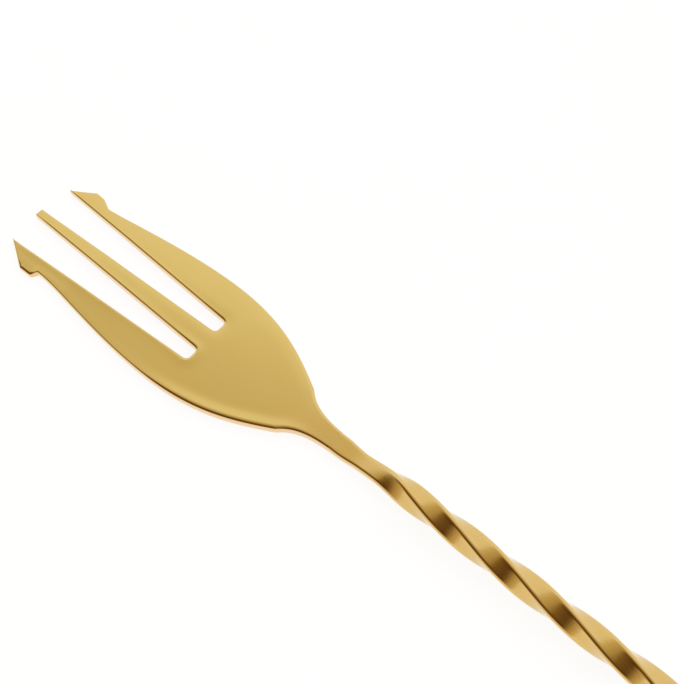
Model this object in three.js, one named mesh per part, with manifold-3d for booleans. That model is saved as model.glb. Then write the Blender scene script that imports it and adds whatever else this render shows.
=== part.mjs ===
// Bar spoon: a flat three-tined fork head, a twisted square stem and a teardrop bowl, butt-welded in line.
// Units are millimetres. +X runs from the fork to the bowl and +Z is up, with the fork's face up.
// The origin is under the middle of the spoon, on the surface that it lies on.

import * as THREE from 'three';
import { mergeVertices } from 'three/addons/utils/BufferGeometryUtils.js';
import Module from 'manifold-3d';

// ---------------------------------------------------------------- driving dimensions

const SPOON_LENGTH = 315;

const FORK_LENGTH = 70.4;           // tine tips to the weld
const SHEET = 1.6;                // thickness of the fork head and of both necks at the weld
const TIP_SHEET = 1.25;           // the tines thin out to this at their tips
const TINE_TAPER = 16;            // how far back from the tips they thin out
const NECK_WIDTH = 3.7;           // width of both necks and of the stem's ends at the weld

const FORK_WIDTH = 23.2;          // across the widest part of the head
const CENTRE_TINE = { tipWidth: 1.6, rootWidth: 4.4 };
const OUTER_TINE = { tipX: 0.65, tipY: 6.95, rootY: 4.85 };
const SLOT_END = 41.6;            // tine tips to the closed end of the slots
const SLOT_CORNER = 1;            // radius in the corners of the slots

// The barb on each outer tine: its front corner, back shoulder, and the notch behind it.
const BARB_LEFT = { corner: [5.0, 9.85], shoulder: [6.9, 9.7], notch: [9.1, 8.65] };
const BARB_RIGHT = { corner: [6.1, 10.35], shoulder: [8.3, 10.35], notch: [9.4, 9.1] };
const BARB_BULGE = [0.6, -0.1];   // from the shoulder to the point that rounds the barb's back

// The side of the head, for y positive: the hollow beside the neck, then the widest place.
const HEAD_SIDE = {
  neckPull: [[63.5, 2.1], [62.4, 4.4]],
  turn: [61.4, 5.0],
  bodyPull: [[54.2, 9.0], [48.1, FORK_WIDTH / 2]],
  widest: [37.7, FORK_WIDTH / 2],
  tinePull: [[25.5, FORK_WIDTH / 2], [13.9, 8.9]],
};
const SIDE_STEPS = 14;            // straight pieces in each curve of the side
const CORNER_STEPS = 5;           // and in each rounded corner of a slot

const STEM_BAR = 3.5;             // square bar, across its flats
const STEM_CORNER = 0.35;         // radius on the bar's edges
const PITCH = 45;                 // length of one full turn of the twist
const TURNS = 4;
const STEM_AXIS = 2.36;           // height of the stem's axis, which lets its edges just clear the surface
const WAIST_WIDTH = 3.1;          // the stem's end narrows to this before the twist begins

const BOWL_LENGTH = 38;
const BOWL_WIDTH = 24;
const BOWL_DEPTH = 5;             // rim to the lowest point inside
const BOWL_WALL = 1.2;
const BOWL_RIM = 0.8;             // height of the bowl's rim
const BOWL_NECK = 11;             // weld to the point of the teardrop

const WELD_FACE = 1.4;            // width of the weld at the surface
const WELD_ROOT = 0.3;            // width of the weld where the two V grooves meet
const WELD_LAND = 0.4;            // height of that narrow middle
const FIT = 0.02;                 // clearance between welded faces

// ---------------------------------------------------------------- places along the spoon

const TIP_X = -SPOON_LENGTH / 2;
const FORK_WELD_X = TIP_X + FORK_LENGTH + WELD_FACE / 2;
const BOWL_WELD_X = SPOON_LENGTH / 2 - BOWL_LENGTH - BOWL_NECK - WELD_FACE / 2;
const BOWL_NECK_HEIGHT = STEM_AXIS;
const FORK_NECK_HEIGHT = SHEET / 2;
const RIM_HEIGHT = BOWL_DEPTH + BOWL_WALL;

// ---------------------------------------------------------------- helpers

const wasm = await Module();
wasm.setup();

/** 0 at a, 1 at b, with a smooth start and end. */
function ease(x, a, b) {
  const t = THREE.MathUtils.clamp((x - a) / (b - a), 0, 1);
  return t * t * (3 - 2 * t);
}

const mix = THREE.MathUtils.lerp;

/** The geometry as shared corner points and triangles only. */
function welded(geometry) {
  const bare = geometry.clone();
  bare.deleteAttribute('normal');
  bare.deleteAttribute('uv');
  return mergeVertices(bare, 1e-5);
}

function toManifold(geometry) {
  const bare = welded(geometry);
  return new wasm.Manifold(new wasm.Mesh({
    numProp: 3,
    vertProperties: new Float32Array(bare.attributes.position.array),
    triVerts: new Uint32Array(bare.index.array),
  }));
}

function fromManifold(solid) {
  const mesh = solid.getMesh();
  const geometry = new THREE.BufferGeometry();
  geometry.setAttribute('position', new THREE.BufferAttribute(mesh.vertProperties, 3));
  geometry.setIndex(new THREE.BufferAttribute(mesh.triVerts, 1));
  return geometry;
}

/** A plate with the given plan outline, from z = 0 up to a height. */
function plan(shape, height) {
  return new THREE.ExtrudeGeometry(shape, { depth: height, bevelEnabled: false });
}

/** A bar across the spoon, centred on y = 0, with the given side view (x, z). */
function sideView(points, width) {
  const shape = new THREE.Shape(points.map(([x, z]) => new THREE.Vector2(x, z)));
  const geometry = new THREE.ExtrudeGeometry(shape, { depth: width, bevelEnabled: false });
  geometry.rotateX(Math.PI / 2);
  geometry.translate(0, width / 2, 0);
  return geometry;
}

/**
 * A solid drawn along X: a prism of the section (y, z), whose points are then moved by
 * place(station, y, z), which gives the point's x, y and z.
 */
function drawn(section, stations, place) {
  const steps = stations.length - 1;
  const options = { depth: steps, steps, bevelEnabled: false, curveSegments: 1 };
  const prism = new THREE.ExtrudeGeometry(section, options);
  const points = prism.attributes.position;
  for (let i = 0; i < points.count; i += 1) {
    const station = stations[Math.round(points.getZ(i))];
    points.setXYZ(i, ...place(station, points.getX(i), points.getY(i)));
  }
  return welded(prism);
}

// ---------------------------------------------------------------- fork head

/** One side of the head, from the neck to the tip of the outer tine. side is +1 or -1. */
function outerEdge(side, barb) {
  const edge = new THREE.Path();
  const at = (x, y) => [x, side * y];
  const curve = (pull, end) => {
    edge.bezierCurveTo(...at(...pull[0]), ...at(...pull[1]), ...at(...end));
  };
  edge.moveTo(...at(FORK_LENGTH + WELD_FACE / 2, NECK_WIDTH / 2));
  edge.lineTo(...at(FORK_LENGTH, NECK_WIDTH / 2));
  curve(HEAD_SIDE.neckPull, HEAD_SIDE.turn);
  curve(HEAD_SIDE.bodyPull, HEAD_SIDE.widest);
  curve(HEAD_SIDE.tinePull, barb.notch);
  const bulge = [barb.shoulder[0] + BARB_BULGE[0], barb.shoulder[1] + BARB_BULGE[1]];
  edge.quadraticCurveTo(...at(...bulge), ...at(...barb.shoulder));
  edge.lineTo(...at(...barb.corner));
  edge.lineTo(...at(OUTER_TINE.tipX, OUTER_TINE.tipY));
  return edge.getPoints(SIDE_STEPS);
}

/** The slot between the centre tine and an outer tine, from its mouth round its closed end and back. */
function slotEdge(side) {
  const edge = new THREE.Path();
  const at = (x, y) => [x, side * y];
  const centre = CENTRE_TINE.rootWidth / 2;
  const outer = OUTER_TINE.rootY;
  edge.moveTo(...at(OUTER_TINE.tipX, OUTER_TINE.tipY));
  edge.lineTo(...at(SLOT_END - SLOT_CORNER, outer));
  edge.quadraticCurveTo(...at(SLOT_END, outer), ...at(SLOT_END, outer - SLOT_CORNER));
  edge.lineTo(...at(SLOT_END, centre + SLOT_CORNER));
  edge.quadraticCurveTo(...at(SLOT_END, centre), ...at(SLOT_END - SLOT_CORNER, centre));
  edge.lineTo(...at(0, CENTRE_TINE.tipWidth / 2));
  return edge.getPoints(CORNER_STEPS);
}

function forkHead() {
  const outline = [
    ...outerEdge(1, BARB_LEFT),
    ...slotEdge(1).slice(1),
    ...slotEdge(-1).reverse(),
    ...outerEdge(-1, BARB_RIGHT).reverse().slice(1),
  ];
  const spare = 1;                // the blank is cut from thicker and longer stock
  const blank = plan(new THREE.Shape(outline), SHEET + spare);
  blank.translate(0, 0, -spare / 2);
  const nose = FORK_LENGTH + (WELD_FACE - WELD_ROOT) / 2 - FIT;
  const thickness = sideView([
    [-spare, 0],
    [FORK_LENGTH - FIT, 0],
    [nose, (SHEET - WELD_LAND) / 2],
    [nose, (SHEET + WELD_LAND) / 2],
    [FORK_LENGTH - FIT, SHEET],
    [TINE_TAPER, SHEET],
    [-spare, TIP_SHEET],
  ], 2 * FORK_WIDTH);
  const head = fromManifold(toManifold(blank).intersect(toManifold(thickness)));
  head.translate(TIP_X, 0, 0);
  return head;
}

// ---------------------------------------------------------------- stem

/** Distances from the weld's middle, along the stem's flat end, where its shape changes. */
const END = {
  flat: WELD_FACE / 2,            // the plain end at the weld
  lift: 3,                        // the axis starts to rise from the fork's
  thicken: 5,
  waist: 5,                       // narrowest, and the twist begins
  twistFull: 9.7,
  lifted: 15,
  fullWidth: 14.5,
  fullHeight: 15.5,
};
const STEM_STEP = 0.9;            // length of one facet of the stem

/** The stem's section, height and twist at x. */
function stemAt(x) {
  const fromFork = x - FORK_WELD_X;
  const fromBowl = BOWL_WELD_X - x;
  const near = Math.min(fromFork, fromBowl);
  const inWaist = mix(NECK_WIDTH, WAIST_WIDTH, ease(near, END.flat, END.waist));
  const width = mix(inWaist, STEM_BAR, ease(near, END.waist, END.fullWidth));
  const groove = (WELD_FACE - WELD_ROOT) / 2;
  const opened = THREE.MathUtils.clamp((near - (END.flat - groove)) / groove, 0, 1);
  const flatHeight = mix(WELD_LAND, SHEET, opened);
  const height = mix(flatHeight, STEM_BAR, ease(near, END.thicken, END.fullHeight));
  const lift = mix(FORK_NECK_HEIGHT, STEM_AXIS, ease(fromFork, END.lift, END.lifted));
  return { width, height, lift, angle: twistAngle(x) };
}

/** Turned angle of the bar at x: a steady right-handed twist that eases in and out. */
function twistAngle(x) {
  const rate = 2 * Math.PI / PITCH;
  const run = END.twistFull - END.waist;
  const begin = FORK_WELD_X + END.waist;
  const finish = begin + run + PITCH * TURNS;
  const easedIn = THREE.MathUtils.clamp(x - begin, 0, run);
  const steady = THREE.MathUtils.clamp(x - begin - run, 0, PITCH * TURNS - run);
  const easedOut = THREE.MathUtils.clamp(x - finish + run, 0, run);
  return rate * (easedIn ** 2 / (2 * run) + steady + easedOut - easedOut ** 2 / (2 * run));
}

function roundedSquare(size, radius) {
  const h = size / 2;
  const shape = new THREE.Shape();
  shape.moveTo(h, -h + radius);
  shape.lineTo(h, h - radius);
  shape.absarc(h - radius, h - radius, radius, 0, Math.PI / 2);
  shape.lineTo(-h + radius, h);
  shape.absarc(-h + radius, h - radius, radius, Math.PI / 2, Math.PI);
  shape.lineTo(-h, -h + radius);
  shape.absarc(-h + radius, -h + radius, radius, Math.PI, 1.5 * Math.PI);
  shape.lineTo(h - radius, -h);
  shape.absarc(h - radius, -h + radius, radius, 1.5 * Math.PI, 2 * Math.PI);
  return shape;
}

function stem() {
  const root = WELD_ROOT / 2 + FIT;
  const face = WELD_FACE / 2 + FIT;
  const first = FORK_WELD_X + face;
  const last = BOWL_WELD_X - face;
  const count = Math.round((last - first) / STEM_STEP);
  const stations = [FORK_WELD_X + root];
  for (let i = 0; i <= count; i += 1) {
    stations.push(mix(first, last, i / count));
  }
  stations.push(BOWL_WELD_X - root);
  return drawn(roundedSquare(STEM_BAR, STEM_CORNER), stations, (x, y, z) => {
    const { width, height, lift, angle } = stemAt(x);
    const across = y * width / STEM_BAR;
    const up = z * height / STEM_BAR;
    return [
      x,
      across * Math.cos(angle) - up * Math.sin(angle),
      lift + across * Math.sin(angle) + up * Math.cos(angle),
    ];
  });
}

// ---------------------------------------------------------------- welds

/** Weld metal with an hourglass side view, as wide as the necks. */
function weld(x, height) {
  const face = WELD_FACE / 2;
  const root = WELD_ROOT / 2;
  const half = SHEET / 2;
  const land = WELD_LAND / 2;
  return sideView([
    [x - face, height - half],
    [x + face, height - half],
    [x + root, height - land],
    [x + root, height + land],
    [x + face, height + half],
    [x - face, height + half],
    [x - root, height + land],
    [x - root, height - land],
  ], NECK_WIDTH);
}

// ---------------------------------------------------------------- spoon bowl

const ROUND_END = Math.PI * 0.985;  // the teardrop's angle at its round end, which leaves a small flat
const WIDEST = 0.7698;              // greatest value of sin(t) * sin(t / 2)
const RISE = { afterWeld: 2, afterPoint: 7 };   // between these the neck climbs to the rim's height
const DEEPEST_SHIFT = 1.15;         // above 1, the deepest place moves towards the round end
const HOLLOW_FULLNESS = 0.9;        // below 1, these three make the bowl rounder and fuller
const INSIDE_FULLNESS = 0.8;
const OUTSIDE_FULLNESS = 0.72;
const RIM_THINNED = 0.5;            // share of the full depth at which the rim has its final height
const NECK_STEPS = 8;
const BOWL_STEPS = 30;
const ACROSS_STEPS = 16;

/** Teardrop: how far along (0 at the point, 1 at the round end) and how wide (0 to 1) at angle t. */
function teardrop(t) {
  const along = (1 - Math.cos(t)) / (1 - Math.cos(ROUND_END));
  return { along, wide: Math.sin(t) * Math.sin(t / 2) / WIDEST };
}

/** Shape of the bowl piece at a station: x, half width, rim height, depth inside and wall. */
function bowlAt({ neck, t }) {
  const { along, wide } = teardrop(t);
  const start = BOWL_WELD_X;
  const pointX = start + WELD_FACE / 2 + BOWL_NECK;
  const x = t > 0 ? pointX + BOWL_LENGTH * along : start + neck;
  const neckHalf = NECK_WIDTH / 2 * Math.cos(t / 2);
  const halfWidth = Math.hypot(neckHalf, BOWL_WIDTH / 2 * wide);
  const rise = ease(x, start + RISE.afterWeld, pointX + RISE.afterPoint);
  const groove = (WELD_FACE - WELD_ROOT) / 2;
  const opened = THREE.MathUtils.clamp((x - start - WELD_FACE / 2 + groove) / groove, 0, 1);
  const thickness = mix(WELD_LAND, SHEET, opened);
  const middle = mix(BOWL_NECK_HEIGHT, RIM_HEIGHT - SHEET / 2, rise);
  const depth = Math.max(0, Math.sin(Math.PI * along ** DEEPEST_SHIFT));
  const hollow = t > 0 ? depth ** HOLLOW_FULLNESS : 0;
  return { x, halfWidth, middle, thickness, hollow };
}

/** Section of the bowl piece: points along its upper side, then back along its lower side. */
function bowlSection(count) {
  const shape = new THREE.Shape();
  shape.moveTo(-1, 1);
  for (let i = 1; i <= count; i += 1) {
    shape.lineTo(-Math.cos(Math.PI * i / count), 1);
  }
  for (let i = count; i >= 0; i -= 1) {
    shape.lineTo(-Math.cos(Math.PI * i / count), -1);
  }
  shape.closePath();
  return shape;
}

function spoonBowl() {
  const stations = [{ neck: WELD_ROOT / 2 + FIT, t: 0 }];
  const face = WELD_FACE / 2;
  for (let i = 0; i < NECK_STEPS; i += 1) {
    stations.push({ neck: mix(face + FIT, face + BOWL_NECK, i / NECK_STEPS), t: 0 });
  }
  for (let i = 1; i <= BOWL_STEPS; i += 1) {
    stations.push({ neck: 0, t: ROUND_END * i / BOWL_STEPS });
  }
  const wallBelow = BOWL_DEPTH + BOWL_WALL - BOWL_RIM;
  return drawn(bowlSection(ACROSS_STEPS), stations, (station, y, side) => {
    const { x, halfWidth, middle, thickness, hollow } = bowlAt(station);
    const inward = Math.max(0, 1 - y * y);
    const edge = mix(thickness, BOWL_RIM, ease(hollow, 0, RIM_THINNED));
    const rimTop = middle + thickness / 2;
    const inside = rimTop - BOWL_DEPTH * hollow * inward ** INSIDE_FULLNESS;
    const outside = rimTop - edge - wallBelow * hollow * inward ** OUTSIDE_FULLNESS;
    return [x, y * halfWidth, side > 0 ? inside : outside];
  });
}

// ---------------------------------------------------------------- the spoon

const HEAD_FINISH = { color: 0xc8a85c, roughness: 0.28 };
const STEM_FINISH = { color: 0xc39b4a, roughness: 0.3 };
const WELD_FINISH = { color: 0xc0984a, roughness: 0.3 };

const spoon = new THREE.Group();

function add(name, geometry, finish) {
  const mesh = new THREE.Mesh(geometry, new THREE.MeshStandardMaterial({ metalness: 1, ...finish }));
  mesh.name = name;
  spoon.add(mesh);
}

add('fork_head', forkHead(), HEAD_FINISH);
add('stem', stem(), STEM_FINISH);
add('spoon_bowl', spoonBowl(), HEAD_FINISH);
add('fork_weld', weld(FORK_WELD_X, FORK_NECK_HEIGHT), WELD_FINISH);
add('bowl_weld', weld(BOWL_WELD_X, BOWL_NECK_HEIGHT), WELD_FINISH);

export default spoon;
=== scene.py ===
"""Bar spoon: a flat three-tined fork head, a twisted square stem and a teardrop bowl, all gold coloured.

Lengths in this file are millimetres, in the row frame: +X from the fork to the bowl, +Z up, and the
spoon lies on the plane z = 0. They turn into metres only where a mesh or an object is made.
"""

import math

import bmesh
import bpy
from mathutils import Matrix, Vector
from mathutils.geometry import delaunay_2d_cdt, interpolate_bezier
import numpy as np


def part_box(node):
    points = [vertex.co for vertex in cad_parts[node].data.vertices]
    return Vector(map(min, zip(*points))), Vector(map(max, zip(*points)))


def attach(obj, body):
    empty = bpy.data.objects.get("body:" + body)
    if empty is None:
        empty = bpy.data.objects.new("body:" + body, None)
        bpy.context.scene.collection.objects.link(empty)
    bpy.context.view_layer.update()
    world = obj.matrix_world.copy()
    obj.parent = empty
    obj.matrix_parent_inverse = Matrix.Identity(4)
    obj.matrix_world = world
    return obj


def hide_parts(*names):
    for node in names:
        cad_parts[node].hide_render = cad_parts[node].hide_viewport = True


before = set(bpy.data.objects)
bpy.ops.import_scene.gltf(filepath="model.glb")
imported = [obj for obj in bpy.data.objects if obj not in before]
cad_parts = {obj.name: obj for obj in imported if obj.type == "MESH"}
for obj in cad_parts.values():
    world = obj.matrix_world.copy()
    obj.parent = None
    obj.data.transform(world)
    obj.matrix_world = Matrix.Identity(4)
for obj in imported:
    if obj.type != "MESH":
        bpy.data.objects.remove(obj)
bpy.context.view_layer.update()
MM = 0.001


def node_box(node):
    """Lowest and highest corner of a CAD node in millimetres."""
    low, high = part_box(node)
    return low / MM, high / MM


def clamp(value, low=0.0, high=1.0):
    return max(low, min(high, value))


def mix(a, b, t):
    return a + (b - a) * t


def ease(x, a, b):
    """0 at a, 1 at b, with a smooth start and end."""
    t = clamp((x - a) / (b - a))
    return t * t * (3 - 2 * t)


# ---------------------------------------------------------------- places and sizes from the frame

TIP_X = node_box("fork_head")[0].x
BOWL_RIM_Z = node_box("spoon_bowl")[1].z
FORK_WELD_LOW, FORK_WELD_HIGH = node_box("fork_weld")
BOWL_WELD_LOW, BOWL_WELD_HIGH = node_box("bowl_weld")

SHEET = FORK_WELD_HIGH.z - FORK_WELD_LOW.z
NECK_WIDTH = FORK_WELD_HIGH.y - FORK_WELD_LOW.y
WELD_FACE = FORK_WELD_HIGH.x - FORK_WELD_LOW.x
FORK_WELD_X = (FORK_WELD_LOW.x + FORK_WELD_HIGH.x) / 2
BOWL_WELD_X = (BOWL_WELD_LOW.x + BOWL_WELD_HIGH.x) / 2
BOWL_NECK_Z = (BOWL_WELD_LOW.z + BOWL_WELD_HIGH.z) / 2

NECK_CORNER = 0.46     # corner radius of the necks' sections, where the welds and the stem's ends meet them

# ---------------------------------------------------------------- camera

CAMERA_AT = Vector((-27.22, -69.13, 192.63))
CAMERA_AIM = Vector((-98.5, 14.385, 1.6))

camera_data = bpy.data.cameras.new("camera")
camera_data.sensor_width = 36.0
camera_data.lens = 68.42
camera_data.clip_start = 0.01
camera_data.clip_end = 10.0
camera = bpy.data.objects.new("camera", camera_data)
bpy.context.scene.collection.objects.link(camera)
camera.location = CAMERA_AT * MM
camera.rotation_euler = (CAMERA_AIM - CAMERA_AT).to_track_quat("-Z", "Y").to_euler()
bpy.context.scene.camera = camera

# ---------------------------------------------------------------- mesh helpers

SHARP = math.radians(40)      # edges that turn more than this are shaded as corners
SATIN_FADE = (14, 2)          # on the head and the bowl, the satin fades out over these distances from a weld


def make_piece(name, vertices, faces, material, node):
    """A closed smooth-shaded mesh from points in millimetres, which stands for a CAD node."""
    mesh = bpy.data.meshes.new(name)
    mesh.from_pydata([(x * MM, y * MM, z * MM) for x, y, z in vertices], [], faces)
    mesh.materials.append(material)
    work = bmesh.new()
    work.from_mesh(mesh)
    gaps = [edge for edge in work.edges if edge.is_boundary]      # at the sharp corners of a flat face
    bmesh.ops.holes_fill(work, edges=gaps, sides=0)
    bmesh.ops.recalc_face_normals(work, faces=work.faces)
    if work.calc_volume(signed=True) < 0:
        bmesh.ops.reverse_faces(work, faces=work.faces)
    for face in work.faces:
        face.smooth = True
    for edge in work.edges:
        edge.smooth = edge.calc_face_angle(0) < SHARP
    work.to_mesh(mesh)
    work.free()
    piece = bpy.data.objects.new(name, mesh)
    bpy.context.scene.collection.objects.link(piece)
    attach(piece, "root")
    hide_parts(node)
    return piece


def bands(ring_count, count):
    """Faces between each ring of points and the next one."""
    faces = []
    for k in range(ring_count - 1):
        for i in range(count):
            j = (i + 1) % count
            faces.append((k * count + i, k * count + j, (k + 1) * count + j, (k + 1) * count + i))
    return faces


def loft(rings):
    """Vertices and faces of a closed tube through rings of equal length, with one face on each end."""
    count = len(rings[0])
    vertices = [p for ring in rings for p in ring]
    faces = bands(len(rings), count)
    faces.append(tuple(range(count)))
    faces.append(tuple(reversed(range((len(rings) - 1) * count, len(rings) * count))))
    return vertices, faces


def set_attributes(piece, rim, along, satin, cut):
    """Stores for each vertex how near it is to an edge, its place with the twist undone, and its finish.

    satin is 0 where the metal is buffed smooth and 1 where it keeps its satin grinding. cut is 1 on the
    sheared side of the sheet, where the plating is thin and pale and a painted sheen makes it paler still.
    """
    mesh = piece.data
    for name, values in (("rim", rim), ("satin", satin), ("cut", cut)):
        layer = mesh.attributes.new(name, "FLOAT", "POINT")
        layer.data.foreach_set("value", np.asarray(values, dtype=np.float32))
    along_layer = mesh.attributes.new("along", "FLOAT_VECTOR", "POINT")
    along_layer.data.foreach_set("vector", np.asarray(along, dtype=np.float32).ravel())


# ---------------------------------------------------------------- materials

LIGHT_GOLD = (0.705, 0.486, 0.076, 1)
DEEP_GOLD = (0.690, 0.438, 0.046, 1)
SATIN_GOLD = (0.680, 0.405, 0.032, 1)
THIN_PLATING_AND_PAINTED_SHEEN_GOLD = (0.880, 0.560, 0.230, 1)       # thin plating on the sheared side of the sheet, made paler still by a painted sheen
WORN_AND_PAINTED_GLINT_GOLD = (0.750, 0.550, 0.200, 1)      # where hands and cloths rub the plating; along rims and corners it is also a painted highlight
BUFFED_ROUGHNESS = 0.13
SATIN_ROUGHNESS = 0.28
COAT_ROUGHNESS = 0.13
COAT_IOR = 2.0

NOISE = (0.3, 0.7)             # most values of a noise texture lie between these
CLOUDS = 60.0                  # noise cells in a metre, for slow drifts of the colour
MOTTLES = 420.0
GRAINS = 5200.0
STREAKS = (0.10, 5.0, 5.0)     # noise cells in a millimetre, along the metal and across it
STREAK_DEPTH = 0.02
GRAIN_DEPTH = 0.01


class Nodes:
    """Short calls for building one node tree."""

    def __init__(self, tree):
        self.tree = tree
        self.tree.nodes.clear()

    def add(self, kind, **inputs):
        node = self.tree.nodes.new(kind)
        for key, value in inputs.items():
            if hasattr(node, key):
                setattr(node, key, value)
            else:
                self.feed(node, key.replace("_", " "), value)
        return node

    def feed(self, node, socket, value):
        if isinstance(value, bpy.types.NodeSocket):
            self.tree.links.new(value, node.inputs[socket])
        else:
            node.inputs[socket].default_value = value

    def attribute(self, name, output="Fac"):
        return self.add("ShaderNodeAttribute", attribute_name=name).outputs[output]

    def math(self, operation, a, b):
        node = self.tree.nodes.new("ShaderNodeMath")
        node.operation = operation
        self.feed(node, 0, a)
        self.feed(node, 1, b)
        return node.outputs[0]

    def remap(self, value, from_low, from_high, to_low, to_high, smooth=False):
        node = self.tree.nodes.new("ShaderNodeMapRange")
        node.interpolation_type = "SMOOTHSTEP" if smooth else "LINEAR"
        for index, number in enumerate((value, from_low, from_high, to_low, to_high)):
            self.feed(node, index, number)
        return node.outputs[0]

    def blend(self, factor, a, b):
        node = self.tree.nodes.new("ShaderNodeMix")
        node.data_type = "RGBA"
        self.feed(node, "Factor", factor)
        self.feed(node, 6, a)      # sockets of other data types have the same names as the colours'
        self.feed(node, 7, b)
        return node.outputs[2]

    def noise(self, vector, scale, detail=2.0, roughness=0.5, stretch=(1, 1, 1)):
        mapping = self.tree.nodes.new("ShaderNodeMapping")
        self.feed(mapping, "Vector", vector)
        mapping.inputs["Scale"].default_value = stretch
        node = self.tree.nodes.new("ShaderNodeTexNoise")
        self.feed(node, "Vector", mapping.outputs[0])
        node.inputs["Scale"].default_value = scale
        node.inputs["Detail"].default_value = detail
        node.inputs["Roughness"].default_value = roughness
        return node.outputs["Fac"]


def gold(name):
    """Gold plating over fine lengthwise grinding, with faint mottling, rims rubbed smoother and painted paler
    (rubbed plating and a painted highlight), and sheared sides painted paler (thin plating and a painted
    sheen).
    """
    material = bpy.data.materials.new(name)
    material.use_nodes = True
    n = Nodes(material.node_tree)
    place = n.add("ShaderNodeTexCoord").outputs["Object"]
    rim = n.attribute("rim")
    satin = n.attribute("satin")
    cut = n.attribute("cut")
    along = n.attribute("along", "Vector")

    cloud = n.noise(place, CLOUDS)
    mottle = n.noise(place, MOTTLES, detail=3.0, roughness=0.6)
    streak = n.noise(along, 1.0, detail=3.0, roughness=0.7, stretch=STREAKS)
    grain = n.noise(place, GRAINS, roughness=0.6)

    tint = n.blend(n.remap(cloud, *NOISE, 0.0, 0.35), LIGHT_GOLD, DEEP_GOLD)
    tint = n.blend(n.remap(mottle, 0.45, 0.75, 0.0, 0.10), tint, DEEP_GOLD)
    tint = n.blend(n.remap(satin, 0.0, 1.0, 0.0, 0.8), tint, SATIN_GOLD)
    worn_streaks = n.math("MULTIPLY", satin, n.remap(streak, 0.35, 0.75, 0.0, 0.30))
    tint = n.blend(worn_streaks, tint, WORN_AND_PAINTED_GLINT_GOLD)
    # rims and corners painted paler: partly rubbed plating, partly a painted highlight
    rim_wear_and_painted_glint = n.math("MULTIPLY", rim, n.remap(mottle, *NOISE, 0.0, 0.20))
    tint = n.blend(rim_wear_and_painted_glint, tint, WORN_AND_PAINTED_GLINT_GOLD)
    # sheared sides painted paler: partly thin plating, partly a painted sheen
    thin_plating_and_painted_sheen = n.math("MULTIPLY", cut, n.remap(mottle, *NOISE, 0.65, 0.9))
    tint = n.blend(thin_plating_and_painted_sheen, tint, THIN_PLATING_AND_PAINTED_SHEEN_GOLD)

    rough = n.remap(satin, 0.0, 1.0, BUFFED_ROUGHNESS, SATIN_ROUGHNESS)
    rough = n.math("ADD", rough, n.remap(streak, *NOISE, -0.03, 0.03))
    rough = n.math("ADD", rough, n.remap(cloud, *NOISE, -0.012, 0.012))
    rough = n.math("MULTIPLY", rough, n.remap(rim, 0.0, 1.0, 1.0, 0.3))

    height = n.math("MULTIPLY", streak, n.remap(satin, 0.0, 1.0, 0.10, 1.0))
    streaks = n.add("ShaderNodeBump", Strength=0.12, Distance=STREAK_DEPTH * MM, Height=height)
    grains = n.add("ShaderNodeBump", Strength=0.02, Distance=GRAIN_DEPTH * MM, Height=grain)
    n.feed(grains, "Normal", streaks.outputs[0])
    shader = n.add("ShaderNodeBsdfPrincipled", Base_Color=tint, Roughness=rough, Normal=grains.outputs[0])
    shader.inputs["Metallic"].default_value = 1.0
    shader.inputs["Coat Weight"].default_value = 1.0
    shader.inputs["Coat Roughness"].default_value = COAT_ROUGHNESS
    shader.inputs["Coat IOR"].default_value = COAT_IOR
    output = n.add("ShaderNodeOutputMaterial")
    n.tree.links.new(shader.outputs[0], output.inputs["Surface"])
    return material


# The same plating on three materials, one for each slot.
head_gold = gold("head_gold")
stem_gold = gold("stem_gold")
weld_gold = gold("weld_gold")

# ---------------------------------------------------------------- fork head's outline

# The head's own coordinates: x from the tips towards the stem, y across.
FORK_LENGTH = 70.4
HALF_WIDTH = 11.6
SLOT_END = 41.6
SLOT_CORNER = 1.0
# The barb at +Y and the one at -Y, from the tip backwards.
BARBS = {
    1: {"corner": (5.0, 9.85), "shoulder": (6.9, 9.7), "notch": (9.1, 8.65)},
    -1: {"corner": (6.1, 10.35), "shoulder": (8.75, 10.35), "notch": (9.4, 9.1)},
}
OUTER_TIP = (0.65, 6.95)
OUTER_ROOT_Y = 4.85
CENTRE_TIP_Y = 0.8
CENTRE_ROOT_Y = 2.2
# The side of the head is three curves: from the neck to the turn beside it, on to the widest place, and
# on to the notch behind the barb. Each pull holds the two handles of one curve.
HEAD_SIDE = {
    "neck_pull": ((63.5, 2.1), (62.4, 4.4)),
    "turn": (61.4, 5.0),
    "body_pull": ((54.2, 9.0), (48.1, HALF_WIDTH)),
    "widest": (37.7, HALF_WIDTH),
    "tine_pull": ((25.5, HALF_WIDTH), (13.9, 8.9)),
}
NOTCH_RADIUS = 0.3
SHOULDER_RADIUS = 0.9
BARB_RADIUS = 0.35
OUTER_TIP_RADIUS = 0.08
CENTRE_TIP_RADIUS = 0.12
OUTLINE_STEP = 0.5     # longest stretch between two points of the outline
CORNER_SHARE = 0.48    # a rounded corner takes up this share of its sides at most
SAME_PLACE = 1e-4


def bezier(p, a, b, q, count):
    points = interpolate_bezier(*[Vector((*v, 0)) for v in (p, a, b, q)], count)
    return [(v.x, v.y) for v in points]


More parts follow.
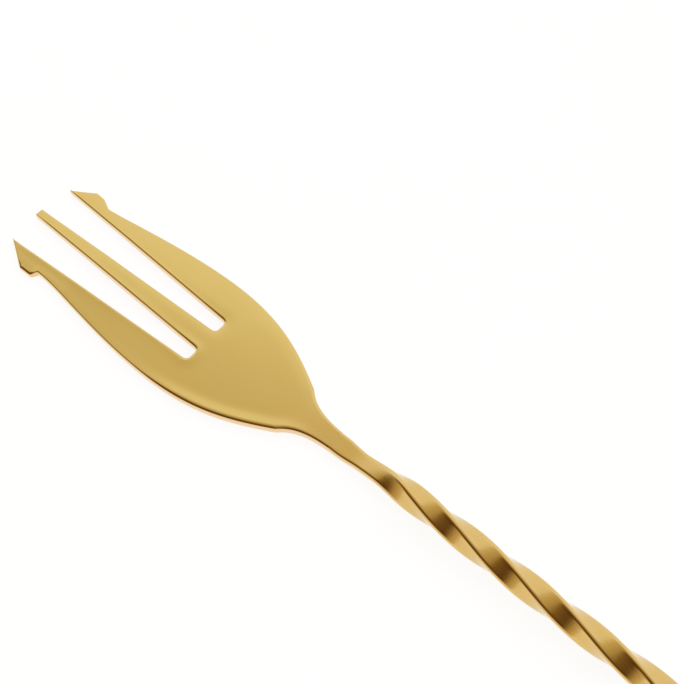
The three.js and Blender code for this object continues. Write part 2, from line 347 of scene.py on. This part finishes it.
def half_outline(barb):
    """One side of the head from the weld to the centre tine's tip, y positive.

    Each entry is a point and the radius that its corner is rounded to.
    """
    neck = (FORK_LENGTH, NECK_WIDTH / 2)
    points = [(neck, 0)]
    runs = [
        bezier(neck, *HEAD_SIDE["neck_pull"], HEAD_SIDE["turn"], 24),
        bezier(HEAD_SIDE["turn"], *HEAD_SIDE["body_pull"], HEAD_SIDE["widest"], 40),
        bezier(HEAD_SIDE["widest"], *HEAD_SIDE["tine_pull"], barb["notch"], 48),
    ]
    for run in runs:
        points += [(p, 0) for p in run[1:]]
    points[-1] = (barb["notch"], NOTCH_RADIUS)
    points += [
        (barb["shoulder"], SHOULDER_RADIUS),
        (barb["corner"], BARB_RADIUS),
        (OUTER_TIP, OUTER_TIP_RADIUS),
        ((SLOT_END, OUTER_ROOT_Y), SLOT_CORNER),
        ((SLOT_END, CENTRE_ROOT_Y), SLOT_CORNER),
        ((0, CENTRE_TIP_Y), CENTRE_TIP_RADIUS),
    ]
    return points


def rounded(points, steps=6):
    """The closed outline with its corners rounded to their radii."""
    result = []
    count = len(points)
    for i, (p, radius) in enumerate(points):
        here = Vector(p)
        if radius == 0:
            result.append(here)
            continue
        before = Vector(points[i - 1][0]) - here
        after = Vector(points[(i + 1) % count][0]) - here
        angle = before.angle(after)
        cut = min(radius / math.tan(angle / 2), CORNER_SHARE * min(before.length, after.length))
        start = here + before.normalized() * cut
        finish = here + after.normalized() * cut
        for k in range(steps + 1):
            t = k / steps
            result.append(start * (1 - t) ** 2 + here * 2 * t * (1 - t) + finish * t * t)
    return result


def divided(points, longest):
    """The closed outline with long stretches divided."""
    result = []
    for i, p in enumerate(points):
        q = points[(i + 1) % len(points)]
        pieces = max(1, math.ceil((q - p).length / longest))
        result += [p.lerp(q, k / pieces) for k in range(pieces)]
    return result


def head_outline():
    """The whole outline of the head, counter-clockwise."""
    left = half_outline(BARBS[1])
    right = [((x, -y), radius) for (x, y), radius in reversed(half_outline(BARBS[-1]))]
    return divided(rounded(left + right), OUTLINE_STEP)


# ---------------------------------------------------------------- fork head's rims and faces

# The upper rim from the side to the upper face: how far in and how far down each step is.
RIM_PROFILE = [
    (0.0, 0.34),
    (0.012, 0.26),
    (0.05, 0.18),
    (0.15, 0.105),
    (0.26, 0.042),
    (0.34, 0.012),
    (0.44, 0.0),
    (0.58, 0.0),
]
RIM_WIDTH = RIM_PROFILE[-2][0]      # where the rim reaches the level of the upper face
RIM_UNDER = 0.20       # rounding of the lower edge
UNDER_STEPS = 4
SHEARED_RINGS = 3      # rings that lie on the sheared side, between the lower edge and the upper rim
MITRE_LIMIT = 0.35     # keeps the rims from reaching too far in at sharp points
RIM_WEAR_AND_PAINTED_GLINT, RIM_WEAR_AND_PAINTED_GLINT_WIDTH = 0.8, 0.12     # how much the face beside a rim is rubbed and given a painted glint, and how far in

# The share of the profile's width that the rims get, and where along x and across y it changes.
POINT_RIM, TINE_RIM, POINT_RUN = 0.3, 0.6, (0, 4)
BODY_RIM, BODY_RUN = 0.65, (34, 48)                               # what the body adds
NECK_LOSS, NECK_RUN = 0.4, (60, 69)                               # how much of that the neck lacks
BARB_RIM, BARB_EDGE, BARB_RUN = 0.6, (9.6, 10.1), (9.0, 10.0)     # what the barb at -Y adds

TIP_SHEET = 1.25
TINE_TAPER = 16.0      # the sheet thins from here to the tips
TINE_DOME = 0.288      # how far the upper face falls away at the widest, on the tines
BODY_DOME = 0.036      # the same on the body
DOME_RUN = (16, 46)
ROLL = 2.0             # width of the band beside the rim that blanking bends
ROLL_DEPTH = 0.03
ROLL_MIDDLE = 3.0      # how far from the middle line the bend gets strong
PROUD_BODY, PROUD_RUN = 3, (34, 50)      # how many times prouder the rim at -Y is on the body
FLAT_END, FLAT_FROM = 1, 9    # the upper face flattens out over these distances from the weld

GRID = 0.5             # spacing of the points in the flat faces
ROW_SHARE = 0.866      # distance between their rows, as a share of the spacing
GRID_CLEARANCE = 0.22  # no point lies nearer to the rim than this
MERGE = 1e-5


def rim_step(p, distance):
    """How far a step of the rim goes in: short at the tines' points, long on the body and the -Y barb."""
    body = ease(p.x, *BODY_RUN) * (1 - NECK_LOSS * ease(p.x, *NECK_RUN))
    share = mix(POINT_RIM, TINE_RIM, ease(p.x, *POINT_RUN)) + BODY_RIM * body
    share += BARB_RIM * ease(-p.y, *BARB_EDGE) * (1 - ease(p.x, *BARB_RUN))
    return distance * share


def inset(points, distance):
    """The closed outline, counter-clockwise, moved inward by the rim's step for a distance."""
    result = []
    count = len(points)
    for i, p in enumerate(points):
        before = (p - points[i - 1]).normalized()
        after = (points[(i + 1) % count] - p).normalized()
        inward = Vector((-before.y - after.y, before.x + after.x))
        inward.normalize()
        spread = max(MITRE_LIMIT, inward.dot(Vector((-before.y, before.x))))
        moved = p + inward * (rim_step(p, distance) / spread)
        if abs(p.x - FORK_LENGTH) < SAME_PLACE:      # the end that is welded is a plain cut
            moved = Vector((p.x - max(0, distance - RIM_WIDTH), p.y * (1 - 2 * distance / NECK_WIDTH)))
        result.append(moved)
    return result


def distances(places, outline):
    """Distance of each place from a closed outline."""
    a = np.array([tuple(p) for p in outline])
    b = np.roll(a, -1, axis=0)
    step = b - a
    length = (step ** 2).sum(1)
    out = []
    for p in np.asarray(places):
        t = np.clip(((p - a) * step).sum(1) / length, 0, 1)
        out.append(np.sqrt(((a + step * t[:, None] - p) ** 2).sum(1)).min())
    return np.array(out)


def inside(places, outline):
    """Which places lie inside a closed outline."""
    a = np.array([tuple(p) for p in outline])
    b = np.roll(a, -1, axis=0)
    result = []
    for x, y in places:
        crosses = (a[:, 1] > y) != (b[:, 1] > y)
        rise = np.where(b[:, 1] == a[:, 1], 1e-9, b[:, 1] - a[:, 1])
        at = a[:, 0] + (y - a[:, 1]) / rise * (b[:, 0] - a[:, 0])
        result.append(bool(np.count_nonzero(crosses & (x < at)) % 2))
    return result


def face_height(x, y, distance):
    """Height of the upper face at a distance inside the rim.

    The face is slightly domed, and blanking has left it a little low beside the rim at +Y and proud
    beside the rim at -Y, most of all on the body.
    """
    lean = -math.tanh(y / ROLL_MIDDLE)
    if y < 0:
        lean *= mix(1, PROUD_BODY, ease(x, *PROUD_RUN))
    rise = ROLL_DEPTH * lean * (1 - clamp(distance / ROLL)) ** 2
    dome = (y / HALF_WIDTH) ** 2 * mix(TINE_DOME, BODY_DOME, ease(x, *DOME_RUN))
    thickness = mix(TIP_SHEET, SHEET, clamp(x / TINE_TAPER))
    return thickness + (rise - ROLL_DEPTH - dome) * ease(x, FORK_LENGTH - FLAT_END, FORK_LENGTH - FLAT_FROM)


def rim_rings(outline):
    """Rings of points from the underside's edge, up the side and over the upper rim."""
    rings = []
    for k in range(UNDER_STEPS + 1):
        a = math.pi / 2 * k / UNDER_STEPS
        ring = inset(outline, RIM_UNDER * (1 - math.sin(a)))
        rings.append([(p.x, p.y, RIM_UNDER * (1 - math.cos(a))) for p in ring])
    for inward, drop in RIM_PROFILE:
        ring = inset(outline, inward)
        rings.append([(p.x, p.y, face_height(q.x, q.y, 0) - drop) for p, q in zip(ring, outline)])
    return rings


def face_grid(edge):
    """Places inside a closed outline, in rows that are half a spacing out of step."""
    grid = []
    rise = GRID * ROW_SHARE
    for j in range(int(2 * HALF_WIDTH / rise) + 2):
        for i in range(int((FORK_LENGTH + 1) / GRID) + 2):
            grid.append((i * GRID + (j % 2) * GRID / 2, -HALF_WIDTH + j * rise))
    grid = [p for p, keep in zip(grid, inside(grid, edge)) if keep]
    return [p for p, far in zip(grid, distances(grid, edge)) if far > GRID_CLEARANCE]


def build_fork():
    outline = head_outline()
    count = len(outline)
    rings = rim_rings(outline)
    vertices = [p for ring in rings for p in ring]
    faces = bands(len(rings), count)
    rim_end = len(vertices)

    # Both flat faces are the same net of triangles, through the rim's inner ring and a grid of points.
    edge = [Vector(p[:2]) for p in rings[-1]]
    flat = [*edge, *[Vector(p) for p in face_grid(edge)]]
    edges = [(i, (i + 1) % count) for i in range(count)]
    points, _, triangles, origins, _, _ = delaunay_2d_cdt(flat, edges, [], 1, MERGE)
    top, under = {}, {}      # the vertices of each place in the net
    far = distances([tuple(p) for p in points], edge)
    for index, p in enumerate(points):
        origin = origins[index][0] if origins[index] else None
        if origin is not None and origin < count:
            top[index] = rim_end - count + origin
            under[index] = origin
            continue
        top[index] = len(vertices)
        vertices.append((p.x, p.y, face_height(p.x, p.y, far[index])))
        under[index] = len(vertices)
        vertices.append((p.x, p.y, 0.0))
    for triangle in triangles:
        faces.append(tuple(top[i] for i in triangle))
        faces.append(tuple(under[i] for i in reversed(triangle)))

    from_rim = distances([v[:2] for v in vertices[rim_end:]], edge)
    # rims and the face beside them are painted paler in the material: rubbed plating and a painted highlight
    rim = [1.0] * rim_end + [RIM_WEAR_AND_PAINTED_GLINT * math.exp(-d / RIM_WEAR_AND_PAINTED_GLINT_WIDTH) for d in from_rim]
    moved = [(x + TIP_X, y, z) for x, y, z in vertices]
    piece = make_piece("fork_head_satin", moved, faces, head_gold, "fork_head")
    satin = [ease(FORK_WELD_X - x, *SATIN_FADE) for x, _, _ in moved]
    # the sheared side is painted paler in the material: thin plating and a painted sheen
    cut = [0.0] * len(moved)
    sheared = slice(UNDER_STEPS * count, (UNDER_STEPS + SHEARED_RINGS) * count)
    cut[sheared] = [1.0] * (SHEARED_RINGS * count)
    set_attributes(piece, rim, moved, satin, cut)
    return piece


# ---------------------------------------------------------------- bar sections

FLAT_STEPS = 10
CORNER_STEPS = 8
CORNER_WEAR_AND_PAINTED_GLINT = 0.2      # how far a corner's rubbed plating and painted glint reach into the faces


def rounded_bar(width, height, corner, crown=0.0):
    """Section of a bar: points (y, z), how near each is to a corner, and 1 on the two upright sides."""
    out = []
    for quarter in range(4):
        turn = quarter * math.pi / 2
        c, s = round(math.cos(turn)), round(math.sin(turn))
        w, h = (width / 2, height / 2) if quarter % 2 == 0 else (height / 2, width / 2)
        for k in range(FLAT_STEPS):
            share = mix(-1, 1, k / FLAT_STEPS)
            near = math.exp(-(1 - abs(share)) * (h - corner) / CORNER_WEAR_AND_PAINTED_GLINT)
            y = w + crown * (1 - share * share)
            z = share * (h - corner)
            out.append((y * c - z * s, y * s + z * c, near, 1 - quarter % 2))
        for k in range(CORNER_STEPS):
            a = math.pi / 2 * k / CORNER_STEPS
            y = w - corner + corner * math.cos(a)
            z = h - corner + corner * math.sin(a)
            out.append((y * c - z * s, y * s + z * c, 1.0, 0))
    return out


# ---------------------------------------------------------------- stem

STEM_BAR = 3.68        # across the flats
STEM_CORNER = 0.68
STEM_CROWN = 0.02      # how far the middle of each face stands out
STEM_AXIS = 2.36       # height of the bar's middle
WAIST_WIDTH = 3.1
STEM_STEP = 0.35       # length of one ring of the stem's mesh
PITCH = 45.0
TURNS = 4

# Distances from the welds along the stem.
TWIST_START = 5.0
TWIST_FULL = 9.7
FULL_SECTION = 14.5    # from here on the stem is the whole square bar
WAIST_FROM = 0.7
CORNER_FROM = 1.0
CROWN_FROM = 4.0
SHEARED_TO = 6.0       # the sides keep the paler colour of sheared sheet, thin plating and a painted sheen, up to here
THICKEN = (5, FULL_SECTION + 1)
LIFT = (3, 15)         # at the fork, where the bar's axis rises above the sheet's


def twist_angle(x):
    """How far the bar is turned at x: the twist starts and stops gently and is steady in between."""
    rate = 2 * math.pi / PITCH
    run = TWIST_FULL - TWIST_START
    begin = FORK_WELD_X + TWIST_START
    finish = begin + run + PITCH * TURNS
    eased_in = clamp(x - begin, 0, run)
    steady = clamp(x - begin - run, 0, PITCH * TURNS - run)
    eased_out = clamp(x - finish + run, 0, run)
    return rate * (eased_in ** 2 / (2 * run) + steady + eased_out - eased_out ** 2 / (2 * run))


def stem_section(x):
    """Points (y, z) of the bar's section at x before it is turned, each with its corner and side marks."""
    near = min(x - FORK_WELD_X, BOWL_WELD_X - x)
    in_waist = mix(NECK_WIDTH, WAIST_WIDTH, ease(near, WAIST_FROM, TWIST_START))
    width = mix(in_waist, STEM_BAR, ease(near, TWIST_START, FULL_SECTION))
    height = mix(SHEET, STEM_BAR, ease(near, *THICKEN))
    corner = mix(NECK_CORNER, STEM_CORNER, ease(near, CORNER_FROM, FULL_SECTION))
    crown = STEM_CROWN * ease(near, CROWN_FROM, FULL_SECTION)
    return rounded_bar(width, height, corner, crown)


def build_stem():
    first = FORK_WELD_X + WELD_FACE / 2
    last = BOWL_WELD_X - WELD_FACE / 2
    count = round((last - first) / STEM_STEP)
    rings, rim, along, cut = [], [], [], []
    for k in range(count + 1):
        x = mix(first, last, k / count)
        axis = mix(SHEET / 2, STEM_AXIS, ease(x - FORK_WELD_X, *LIFT))
        angle = twist_angle(x)
        c, s = math.cos(angle), math.sin(angle)
        # the sheared sides near the welds are painted paler in the material: thin plating and a painted sheen
        sheared = 1 - ease(min(x - FORK_WELD_X, BOWL_WELD_X - x), SHEARED_TO, FULL_SECTION)
        ring = []
        for y, z, edge, side in stem_section(x):
            ring.append((x, y * c - z * s, axis + y * s + z * c))
            rim.append(edge)
            along.append((x, y, z))
            cut.append(side * sheared)
        rings.append(ring)
    vertices, faces = loft(rings)
    piece = make_piece("stem_satin", vertices, faces, stem_gold, "stem")
    set_attributes(piece, rim, along, [1.0] * len(along), cut)
    return piece


# ---------------------------------------------------------------- welds

WELD_RINGS = 5


def build_weld(name, node, x, middle):
    """A flush bead across the neck, centred at x and at the height middle."""
    rings, rim, along, cut = [], [], [], []
    for k in range(WELD_RINGS):
        at = mix(x - WELD_FACE / 2, x + WELD_FACE / 2, k / (WELD_RINGS - 1))
        ring = []
        for y, z, edge, side in rounded_bar(NECK_WIDTH, SHEET, NECK_CORNER):
            ring.append((at, y, middle + z))
            rim.append(edge)
            along.append((at, y, z))
            cut.append(side)
        rings.append(ring)
    vertices, faces = loft(rings)
    piece = make_piece(name, vertices, faces, weld_gold, node)
    set_attributes(piece, rim, along, [1.0] * len(along), cut)
    return piece


# ---------------------------------------------------------------- spoon bowl

BOWL_LENGTH = 38.0
BOWL_HALF_WIDTH = 11.97
BOWL_DEPTH = 5.0
BOWL_WALL = 1.2
BOWL_RIM = 0.8         # thickness of the sheet at the bowl's rim
BOWL_NECK = 11.0
BOWL_POINT_X = BOWL_WELD_X + WELD_FACE / 2 + BOWL_NECK    # where the neck widens into the bowl
NECK_RISE = (BOWL_WELD_X + 2, BOWL_POINT_X + 7)
BOWL_SKEW = 1.15       # above 1, the deepest place lies nearer to the round end
FLOOR_FULLNESS = 0.9   # below 1, the floor is flatter along the bowl
INNER_FULLNESS = 0.8   # the same across the bowl, inside and outside
OUTER_FULLNESS = 0.72
ROUND_END = math.pi * 0.985   # the last ring, just short of the round end's tip
TEARDROP_PEAK = 0.7698        # highest value of sin(t) sin(t/2)
NECK_RINGS = 24
BOWL_RINGS = 96
EDGE_STEPS = 7
ACROSS_STEPS = 40
THIN_BY, ROUND_BY = 0.5, 0.4  # hollowness where the rim has its own thickness and its full rounding
EDGE_FLAT = 0.01       # what the rounding leaves flat, on each half of the edge
CORNER_LIMIT = 0.8     # the rounding takes this share of the half width at most
EDGE_WEAR_AND_PAINTED_GLINT = 0.35       # how far the rubbed plating and painted glint reach in from the edge


def bowl_at(neck, t):
    """x, half width, height of the rim and hollowness of the bowl piece.

    t runs from 0 at the teardrop's point to pi at its round end. On the neck t is 0, and neck is the
    distance from the weld's middle.
    """
    share = (1 - math.cos(t)) / (1 - math.cos(ROUND_END))
    wide = math.sin(t) * math.sin(t / 2) / TEARDROP_PEAK
    x = BOWL_POINT_X + BOWL_LENGTH * share if t > 0 else BOWL_WELD_X + neck
    half = math.hypot(NECK_WIDTH / 2 * math.cos(t / 2), BOWL_HALF_WIDTH * wide)
    middle = mix(BOWL_NECK_Z, BOWL_RIM_Z - SHEET / 2, ease(x, *NECK_RISE))
    hollow = max(0.0, math.sin(math.pi * share ** BOWL_SKEW)) ** FLOOR_FULLNESS if t > 0 else 0.0
    return x, half, middle + SHEET / 2, hollow


def bowl_section(half, rim_top, hollow):
    """Closed section of the bowl piece, upper side first: (y, z) and how near each point is to the edge."""
    edge = mix(SHEET, BOWL_RIM, ease(hollow, 0, THIN_BY))
    corner = mix(NECK_CORNER, edge / 2 - EDGE_FLAT, ease(hollow, 0, ROUND_BY))
    corner = min(corner, half * CORNER_LIMIT)
    inner = half - corner
    round_part = [corner * (1 - math.cos(math.pi / 2 * k / EDGE_STEPS)) for k in range(EDGE_STEPS)]
    stops = [-half + step for step in round_part]
    stops += [-inner * math.cos(math.pi * k / ACROSS_STEPS) for k in range(ACROSS_STEPS + 1)]
    stops += [half - step for step in reversed(round_part)]
    upper, lower = [], []
    for y in stops:
        share = y / half
        inward = max(0.0, 1 - share * share)
        top = rim_top - BOWL_DEPTH * hollow * inward ** INNER_FULLNESS
        under = rim_top - edge - (BOWL_DEPTH + BOWL_WALL - BOWL_RIM) * hollow * inward ** OUTER_FULLNESS
        from_edge = half - abs(y)
        if from_edge < corner:
            cut = corner - math.sqrt(max(0.0, corner ** 2 - (corner - from_edge) ** 2))
            top -= cut
            under += cut
        # nearness to the edge paints the rim paler in the material: rubbed plating and a painted highlight
        nearness = math.exp(-from_edge / EDGE_WEAR_AND_PAINTED_GLINT)
        upper.append((y, top, nearness))
        lower.append((y, under, nearness))
    return upper + lower[::-1]


def build_bowl():
    stations = []
    for i in range(NECK_RINGS):
        stations.append((mix(WELD_FACE / 2, WELD_FACE / 2 + BOWL_NECK, i / NECK_RINGS), 0.0))
    for i in range(1, BOWL_RINGS + 1):
        stations.append((0.0, ROUND_END * i / BOWL_RINGS))
    rings, rim = [], []
    for neck, t in stations:
        x, half, rim_top, hollow = bowl_at(neck, t)
        section = bowl_section(half, rim_top, hollow)
        rings.append([(x, y, z) for y, z, _ in section])
        rim += [edge for _, _, edge in section]
    vertices, faces = loft(rings)
    piece = make_piece("spoon_bowl_satin", vertices, faces, head_gold, "spoon_bowl")
    satin = [ease(x - BOWL_WELD_X, *SATIN_FADE) for x, _, _ in vertices]
    set_attributes(piece, rim, vertices, satin, [0.0] * len(vertices))
    return piece


build_fork()
build_stem()
build_weld("fork_weld_flush", "fork_weld", FORK_WELD_X, SHEET / 2)
build_weld("bowl_weld_flush", "bowl_weld", BOWL_WELD_X, BOWL_NECK_Z)
build_bowl()

# ---------------------------------------------------------------- floor

FLOOR_GLOW = 0.90      # the floor is a lit white panel, so that shadows on it stay faint
FLOOR_SHADE = (0.17, 0.19)
FLOOR_CLOUDS = 6.0     # noise cells in a metre
FLOOR_HALF = 6000
FLOOR_DROP = 0.02      # the floor lies this far below the spoon


def build_floor():
    material = bpy.data.materials.new("pale_floor")
    material.use_nodes = True
    n = Nodes(material.node_tree)
    place = n.add("ShaderNodeTexCoord").outputs["Object"]
    shade = n.remap(n.noise(place, FLOOR_CLOUDS), *NOISE, *FLOOR_SHADE)
    colour = n.add("ShaderNodeCombineColor", Red=shade, Green=shade, Blue=shade)
    shader = n.add("ShaderNodeBsdfPrincipled", Base_Color=colour.outputs[0])
    shader.inputs["Roughness"].default_value = 0.9
    shader.inputs["Specular IOR Level"].default_value = 0.0
    shader.inputs["Emission Color"].default_value = (1.0, 1.0, 1.0, 1)
    shader.inputs["Emission Strength"].default_value = FLOOR_GLOW
    output = n.add("ShaderNodeOutputMaterial")
    n.tree.links.new(shader.outputs[0], output.inputs["Surface"])
    size = FLOOR_HALF * MM
    corners = [(-size, -size, 0), (size, -size, 0), (size, size, 0), (-size, size, 0)]
    mesh = bpy.data.meshes.new("floor")
    mesh.from_pydata(corners, [], [(0, 1, 2, 3)])
    mesh.materials.append(material)
    floor = bpy.data.objects.new("floor", mesh)
    floor.location.z = -FLOOR_DROP * MM
    bpy.context.scene.collection.objects.link(floor)


# ---------------------------------------------------------------- world light

# The studio's light, by the angle round the spoon's length: 0 is the horizon behind it, 90 is
# overhead and 180 is the horizon on the viewer's side. A long softbox stands behind the spoon, and the
# unlit room shows as a warm dark strip above the viewer.
STUDIO = [
    (-30, (0.97, 0.99, 1.00)),
    (45, (1.00, 1.00, 1.02)),
    (60.5, (0.98, 0.97, 0.95)),
    (65, (0.78, 0.725, 0.60)),
    (75, (0.67, 0.57, 0.39)),
    (91, (0.57, 0.46, 0.28)),
    (112, (0.19, 0.11, 0.05)),
    (143, (0.11, 0.055, 0.03)),
    (170, (0.66, 0.52, 0.32)),
    (182, (0.84, 0.78, 0.70)),
]
# The strips don't run quite along the spoon: they are turned from it by this angle, one way behind the
# spoon and the other way in front. The turn changes over between these values of a direction's Y.
STUDIO_TURN = math.radians(20)
TURN_CHANGE = (-0.45, 0.0)
SIDE_LIGHT = (1.0, 1.01, 1.06, 1)
LEFT_LIGHT = (-0.78, -1.0)       # a direction's X where the side light begins and where it is full
RIGHT_LIGHT = (0.4, 0.85)


def build_world():
    """A white studio, brightest behind the spoon and at both sides, with a dim strip above the viewer."""
    world = bpy.data.worlds.new("studio")
    bpy.context.scene.world = world
    world.use_nodes = True
    n = Nodes(world.node_tree)
    direction = n.add("ShaderNodeTexCoord").outputs["Generated"]
    x, y, z = n.add("ShaderNodeSeparateXYZ", Vector=direction).outputs

    lean = math.sin(STUDIO_TURN)
    turned = n.math("MULTIPLY", x, n.remap(y, *TURN_CHANGE, -lean, lean, smooth=True))
    across = n.math("SUBTRACT", n.math("MULTIPLY", y, math.cos(STUDIO_TURN)), turned)
    angle = n.math("ARCTAN2", z, across)

    first, last = STUDIO[0][0], STUDIO[-1][0]
    place = n.remap(angle, math.radians(first), math.radians(last), 0.0, 1.0)
    ramp = n.add("ShaderNodeValToRGB", Fac=place)
    ramp.color_ramp.interpolation = "EASE"
    stops = ramp.color_ramp.elements
    for _ in STUDIO[2:]:
        stops.new(0.5)
    for stop, (degrees, colour) in zip(stops, STUDIO):
        stop.position = (degrees - first) / (last - first)
        stop.color = (*colour, 1)

    left = n.remap(x, *LEFT_LIGHT, 0.0, 1.0, smooth=True)
    right = n.remap(x, *RIGHT_LIGHT, 0.0, 1.0, smooth=True)
    light = n.blend(n.math("ADD", left, right), ramp.outputs["Color"], SIDE_LIGHT)
    background = n.add("ShaderNodeBackground", Color=light)
    background.inputs["Strength"].default_value = 1.0
    output = n.add("ShaderNodeOutputWorld")
    n.tree.links.new(background.outputs[0], output.inputs["Surface"])


build_floor()
build_world()

view = bpy.context.scene.view_settings
view.view_transform = "Standard"
view.look = "None"
view.exposure = 0.0
